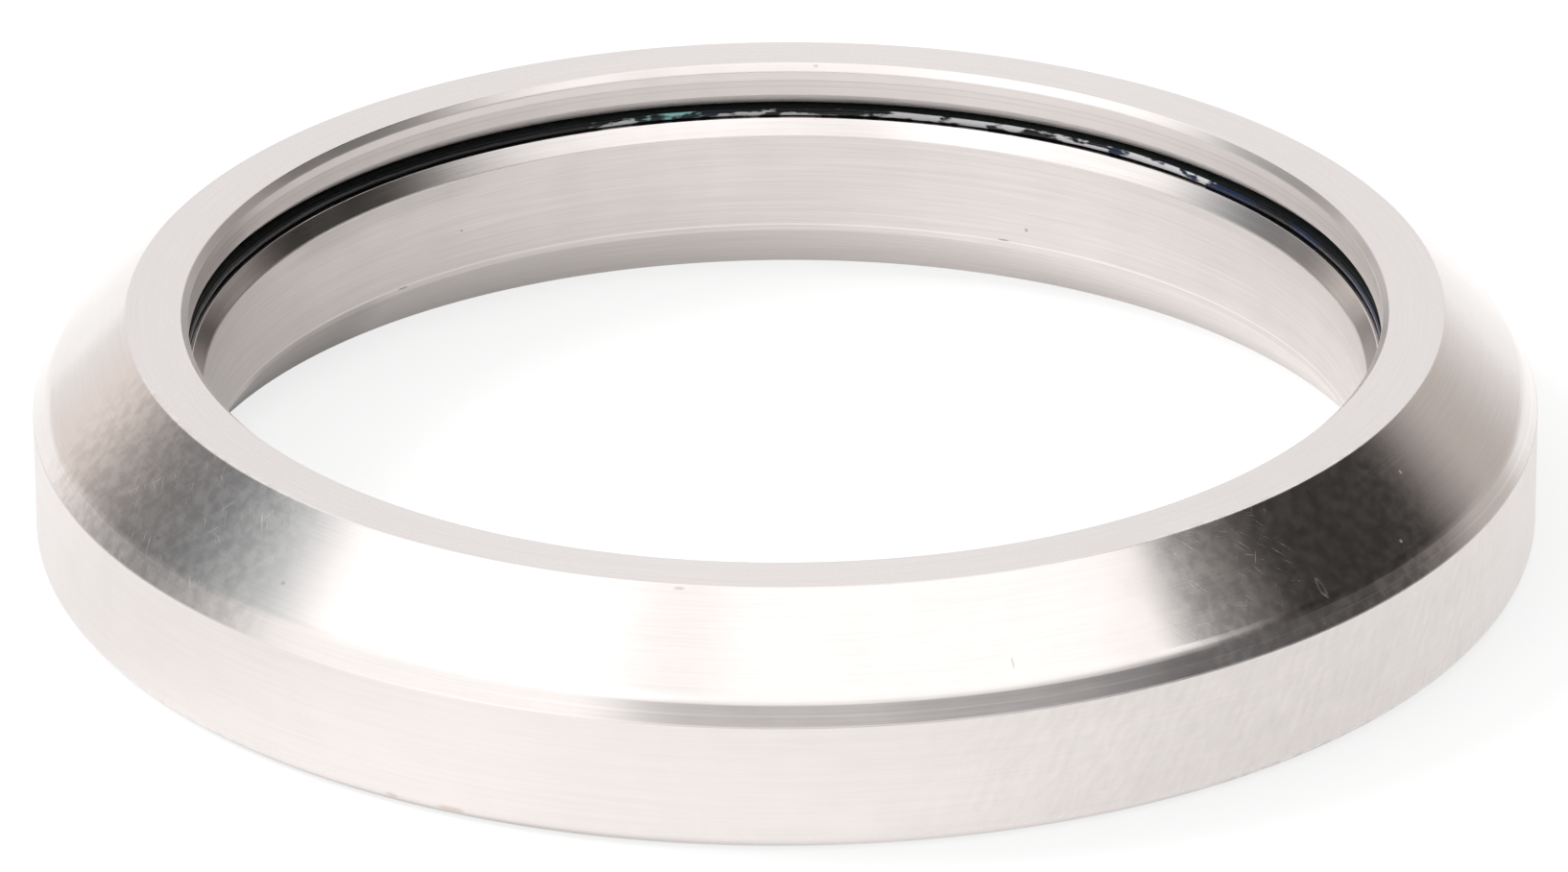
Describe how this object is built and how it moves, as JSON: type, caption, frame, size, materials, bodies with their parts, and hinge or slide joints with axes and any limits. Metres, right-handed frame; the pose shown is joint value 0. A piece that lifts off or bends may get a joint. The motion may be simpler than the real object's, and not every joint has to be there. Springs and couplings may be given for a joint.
{
  "type": "headset bearing",
  "caption": "Thin sealed angular-contact cartridge bearing for a bicycle headset, with cone seats on the outside of the outer ring and in the bore of the inner ring.",
  "frame": {"origin": "centre of the base, the lower faces of both rings", "axes": "+Z along the bearing's axis, from the inner ring's cone seat towards the outer ring's cone seat"},
  "size_m": [0.0518, 0.0518, 0.008],
  "materials": {
    "outer_ring_steel": "bearing steel, finely turned and ground",
    "inner_ring_steel": "bearing steel, finely turned bore with a polished chamfer",
    "seal_rubber": "black nitrile rubber, moulded and greasy",
    "cage_nylon": "natural nylon, moulded",
    "ball_steel": "polished bearing steel"
  },
  "bodies": {
    "outer": {"outer_ring": "outer_ring_steel", "top_seal": "seal_rubber", "bottom_seal": "seal_rubber"},
    "inner": {"inner_ring": "inner_ring_steel"},
    "cage": {"ball_cage": "cage_nylon"},
    "ball_01": {"ball_01": "ball_steel"},
    "ball_02": {"ball_02": "ball_steel"},
    "ball_03": {"ball_03": "ball_steel"},
    "ball_04": {"ball_04": "ball_steel"},
    "ball_05": {"ball_05": "ball_steel"},
    "ball_06": {"ball_06": "ball_steel"},
    "ball_07": {"ball_07": "ball_steel"},
    "ball_08": {"ball_08": "ball_steel"},
    "ball_09": {"ball_09": "ball_steel"},
    "ball_10": {"ball_10": "ball_steel"},
    "ball_11": {"ball_11": "ball_steel"},
    "ball_12": {"ball_12": "ball_steel"},
    "ball_13": {"ball_13": "ball_steel"},
    "ball_14": {"ball_14": "ball_steel"},
    "ball_15": {"ball_15": "ball_steel"},
    "ball_16": {"ball_16": "ball_steel"},
    "ball_17": {"ball_17": "ball_steel"},
    "ball_18": {"ball_18": "ball_steel"},
    "ball_19": {"ball_19": "ball_steel"},
    "ball_20": {"ball_20": "ball_steel"},
    "ball_21": {"ball_21": "ball_steel"},
    "ball_22": {"ball_22": "ball_steel"},
    "ball_23": {"ball_23": "ball_steel"},
    "ball_24": {"ball_24": "ball_steel"},
    "ball_25": {"ball_25": "ball_steel"},
    "ball_26": {"ball_26": "ball_steel"},
    "ball_27": {"ball_27": "ball_steel"},
    "ball_28": {"ball_28": "ball_steel"},
    "ball_29": {"ball_29": "ball_steel"},
    "ball_30": {"ball_30": "ball_steel"},
    "ball_31": {"ball_31": "ball_steel"},
    "ball_32": {"ball_32": "ball_steel"},
    "ball_33": {"ball_33": "ball_steel"},
    "ball_34": {"ball_34": "ball_steel"},
    "ball_35": {"ball_35": "ball_steel"},
    "ball_36": {"ball_36": "ball_steel"}
  },
  "joints": [
    {"name": "inner_ring_spin", "type": "hinge", "parent": "outer", "child": "inner", "pos_m": [0, 0, 0.0039], "axis": [0, 0, 1], "continuous": true},
    {"name": "cage_orbit", "type": "hinge", "parent": "outer", "child": "cage", "pos_m": [0, 0, 0.0039], "axis": [0, 0, 1], "continuous": true},
    {"name": "ball_01_roll", "type": "hinge", "parent": "cage", "child": "ball_01", "pos_m": [0.02295, 0, 0.0039], "axis": [-0.7071, 0, 0.7071], "continuous": true},
    {"name": "ball_02_roll", "type": "hinge", "parent": "cage", "child": "ball_02", "pos_m": [0.0226, 0.00399, 0.0039], "axis": [-0.6964, -0.1228, 0.7071], "continuous": true},
    {"name": "ball_03_roll", "type": "hinge", "parent": "cage", "child": "ball_03", "pos_m": [0.02157, 0.00785, 0.0039], "axis": [-0.6645, -0.2418, 0.7071], "continuous": true},
    {"name": "ball_04_roll", "type": "hinge", "parent": "cage", "child": "ball_04", "pos_m": [0.01988, 0.01148, 0.0039], "axis": [-0.6124, -0.3536, 0.7071], "continuous": true},
    {"name": "ball_05_roll", "type": "hinge", "parent": "cage", "child": "ball_05", "pos_m": [0.01758, 0.01475, 0.0039], "axis": [-0.5417, -0.4545, 0.7071], "continuous": true},
    {"name": "ball_06_roll", "type": "hinge", "parent": "cage", "child": "ball_06", "pos_m": [0.01475, 0.01758, 0.0039], "axis": [-0.4545, -0.5417, 0.7071], "continuous": true},
    {"name": "ball_07_roll", "type": "hinge", "parent": "cage", "child": "ball_07", "pos_m": [0.01148, 0.01988, 0.0039], "axis": [-0.3536, -0.6124, 0.7071], "continuous": true},
    {"name": "ball_08_roll", "type": "hinge", "parent": "cage", "child": "ball_08", "pos_m": [0.00785, 0.02157, 0.0039], "axis": [-0.2418, -0.6645, 0.7071], "continuous": true},
    {"name": "ball_09_roll", "type": "hinge", "parent": "cage", "child": "ball_09", "pos_m": [0.00399, 0.0226, 0.0039], "axis": [-0.1228, -0.6964, 0.7071], "continuous": true},
    {"name": "ball_10_roll", "type": "hinge", "parent": "cage", "child": "ball_10", "pos_m": [0, 0.02295, 0.0039], "axis": [0, -0.7071, 0.7071], "continuous": true},
    {"name": "ball_11_roll", "type": "hinge", "parent": "cage", "child": "ball_11", "pos_m": [-0.00399, 0.0226, 0.0039], "axis": [0.1228, -0.6964, 0.7071], "continuous": true},
    {"name": "ball_12_roll", "type": "hinge", "parent": "cage", "child": "ball_12", "pos_m": [-0.00785, 0.02157, 0.0039], "axis": [0.2418, -0.6645, 0.7071], "continuous": true},
    {"name": "ball_13_roll", "type": "hinge", "parent": "cage", "child": "ball_13", "pos_m": [-0.01148, 0.01988, 0.0039], "axis": [0.3536, -0.6124, 0.7071], "continuous": true},
    {"name": "ball_14_roll", "type": "hinge", "parent": "cage", "child": "ball_14", "pos_m": [-0.01475, 0.01758, 0.0039], "axis": [0.4545, -0.5417, 0.7071], "continuous": true},
    {"name": "ball_15_roll", "type": "hinge", "parent": "cage", "child": "ball_15", "pos_m": [-0.01758, 0.01475, 0.0039], "axis": [0.5417, -0.4545, 0.7071], "continuous": true},
    {"name": "ball_16_roll", "type": "hinge", "parent": "cage", "child": "ball_16", "pos_m": [-0.01988, 0.01148, 0.0039], "axis": [0.6124, -0.3536, 0.7071], "continuous": true},
    {"name": "ball_17_roll", "type": "hinge", "parent": "cage", "child": "ball_17", "pos_m": [-0.02157, 0.00785, 0.0039], "axis": [0.6645, -0.2418, 0.7071], "continuous": true},
    {"name": "ball_18_roll", "type": "hinge", "parent": "cage", "child": "ball_18", "pos_m": [-0.0226, 0.00399, 0.0039], "axis": [0.6964, -0.1228, 0.7071], "continuous": true},
    {"name": "ball_19_roll", "type": "hinge", "parent": "cage", "child": "ball_19", "pos_m": [-0.02295, 0, 0.0039], "axis": [0.7071, 0, 0.7071], "continuous": true},
    {"name": "ball_20_roll", "type": "hinge", "parent": "cage", "child": "ball_20", "pos_m": [-0.0226, -0.00399, 0.0039], "axis": [0.6964, 0.1228, 0.7071], "continuous": true},
    {"name": "ball_21_roll", "type": "hinge", "parent": "cage", "child": "ball_21", "pos_m": [-0.02157, -0.00785, 0.0039], "axis": [0.6645, 0.2418, 0.7071], "continuous": true},
    {"name": "ball_22_roll", "type": "hinge", "parent": "cage", "child": "ball_22", "pos_m": [-0.01988, -0.01148, 0.0039], "axis": [0.6124, 0.3536, 0.7071], "continuous": true},
    {"name": "ball_23_roll", "type": "hinge", "parent": "cage", "child": "ball_23", "pos_m": [-0.01758, -0.01475, 0.0039], "axis": [0.5417, 0.4545, 0.7071], "continuous": true},
    {"name": "ball_24_roll", "type": "hinge", "parent": "cage", "child": "ball_24", "pos_m": [-0.01475, -0.01758, 0.0039], "axis": [0.4545, 0.5417, 0.7071], "continuous": true},
    {"name": "ball_25_roll", "type": "hinge", "parent": "cage", "child": "ball_25", "pos_m": [-0.01148, -0.01988, 0.0039], "axis": [0.3536, 0.6124, 0.7071], "continuous": true},
    {"name": "ball_26_roll", "type": "hinge", "parent": "cage", "child": "ball_26", "pos_m": [-0.00785, -0.02157, 0.0039], "axis": [0.2418, 0.6645, 0.7071], "continuous": true},
    {"name": "ball_27_roll", "type": "hinge", "parent": "cage", "child": "ball_27", "pos_m": [-0.00399, -0.0226, 0.0039], "axis": [0.1228, 0.6964, 0.7071], "continuous": true},
    {"name": "ball_28_roll", "type": "hinge", "parent": "cage", "child": "ball_28", "pos_m": [0, -0.02295, 0.0039], "axis": [0, 0.7071, 0.7071], "continuous": true},
    {"name": "ball_29_roll", "type": "hinge", "parent": "cage", "child": "ball_29", "pos_m": [0.00399, -0.0226, 0.0039], "axis": [-0.1228, 0.6964, 0.7071], "continuous": true},
    {"name": "ball_30_roll", "type": "hinge", "parent": "cage", "child": "ball_30", "pos_m": [0.00785, -0.02157, 0.0039], "axis": [-0.2418, 0.6645, 0.7071], "continuous": true},
    {"name": "ball_31_roll", "type": "hinge", "parent": "cage", "child": "ball_31", "pos_m": [0.01148, -0.01988, 0.0039], "axis": [-0.3536, 0.6124, 0.7071], "continuous": true},
    {"name": "ball_32_roll", "type": "hinge", "parent": "cage", "child": "ball_32", "pos_m": [0.01475, -0.01758, 0.0039], "axis": [-0.4545, 0.5417, 0.7071], "continuous": true},
    {"name": "ball_33_roll", "type": "hinge", "parent": "cage", "child": "ball_33", "pos_m": [0.01758, -0.01475, 0.0039], "axis": [-0.5417, 0.4545, 0.7071], "continuous": true},
    {"name": "ball_34_roll", "type": "hinge", "parent": "cage", "child": "ball_34", "pos_m": [0.01988, -0.01148, 0.0039], "axis": [-0.6124, 0.3536, 0.7071], "continuous": true},
    {"name": "ball_35_roll", "type": "hinge", "parent": "cage", "child": "ball_35", "pos_m": [0.02157, -0.00785, 0.0039], "axis": [-0.6645, 0.2418, 0.7071], "continuous": true},
    {"name": "ball_36_roll", "type": "hinge", "parent": "cage", "child": "ball_36", "pos_m": [0.0226, -0.00399, 0.0039], "axis": [-0.6964, 0.1228, 0.7071], "continuous": true}
  ],
  "couplings": [
    {"joint": "cage_orbit", "follows": "inner_ring_spin", "ratio": 0.4755},
    {"joint": "ball_01_roll", "follows": "inner_ring_spin", "ratio": -7.2111},
    {"joint": "ball_02_roll", "follows": "inner_ring_spin", "ratio": -7.2111},
    {"joint": "ball_03_roll", "follows": "inner_ring_spin", "ratio": -7.2111},
    {"joint": "ball_04_roll", "follows": "inner_ring_spin", "ratio": -7.2111},
    {"joint": "ball_05_roll", "follows": "inner_ring_spin", "ratio": -7.2111},
    {"joint": "ball_06_roll", "follows": "inner_ring_spin", "ratio": -7.2111},
    {"joint": "ball_07_roll", "follows": "inner_ring_spin", "ratio": -7.2111},
    {"joint": "ball_08_roll", "follows": "inner_ring_spin", "ratio": -7.2111},
    {"joint": "ball_09_roll", "follows": "inner_ring_spin", "ratio": -7.2111},
    {"joint": "ball_10_roll", "follows": "inner_ring_spin", "ratio": -7.2111},
    {"joint": "ball_11_roll", "follows": "inner_ring_spin", "ratio": -7.2111},
    {"joint": "ball_12_roll", "follows": "inner_ring_spin", "ratio": -7.2111},
    {"joint": "ball_13_roll", "follows": "inner_ring_spin", "ratio": -7.2111},
    {"joint": "ball_14_roll", "follows": "inner_ring_spin", "ratio": -7.2111},
    {"joint": "ball_15_roll", "follows": "inner_ring_spin", "ratio": -7.2111},
    {"joint": "ball_16_roll", "follows": "inner_ring_spin", "ratio": -7.2111},
    {"joint": "ball_17_roll", "follows": "inner_ring_spin", "ratio": -7.2111},
    {"joint": "ball_18_roll", "follows": "inner_ring_spin", "ratio": -7.2111},
    {"joint": "ball_19_roll", "follows": "inner_ring_spin", "ratio": -7.2111},
    {"joint": "ball_20_roll", "follows": "inner_ring_spin", "ratio": -7.2111},
    {"joint": "ball_21_roll", "follows": "inner_ring_spin", "ratio": -7.2111},
    {"joint": "ball_22_roll", "follows": "inner_ring_spin", "ratio": -7.2111},
    {"joint": "ball_23_roll", "follows": "inner_ring_spin", "ratio": -7.2111},
    {"joint": "ball_24_roll", "follows": "inner_ring_spin", "ratio": -7.2111},
    {"joint": "ball_25_roll", "follows": "inner_ring_spin", "ratio": -7.2111},
    {"joint": "ball_26_roll", "follows": "inner_ring_spin", "ratio": -7.2111},
    {"joint": "ball_27_roll", "follows": "inner_ring_spin", "ratio": -7.2111},
    {"joint": "ball_28_roll", "follows": "inner_ring_spin", "ratio": -7.2111},
    {"joint": "ball_29_roll", "follows": "inner_ring_spin", "ratio": -7.2111},
    {"joint": "ball_30_roll", "follows": "inner_ring_spin", "ratio": -7.2111},
    {"joint": "ball_31_roll", "follows": "inner_ring_spin", "ratio": -7.2111},
    {"joint": "ball_32_roll", "follows": "inner_ring_spin", "ratio": -7.2111},
    {"joint": "ball_33_roll", "follows": "inner_ring_spin", "ratio": -7.2111},
    {"joint": "ball_34_roll", "follows": "inner_ring_spin", "ratio": -7.2111},
    {"joint": "ball_35_roll", "follows": "inner_ring_spin", "ratio": -7.2111},
    {"joint": "ball_36_roll", "follows": "inner_ring_spin", "ratio": -7.2111}
  ]
}
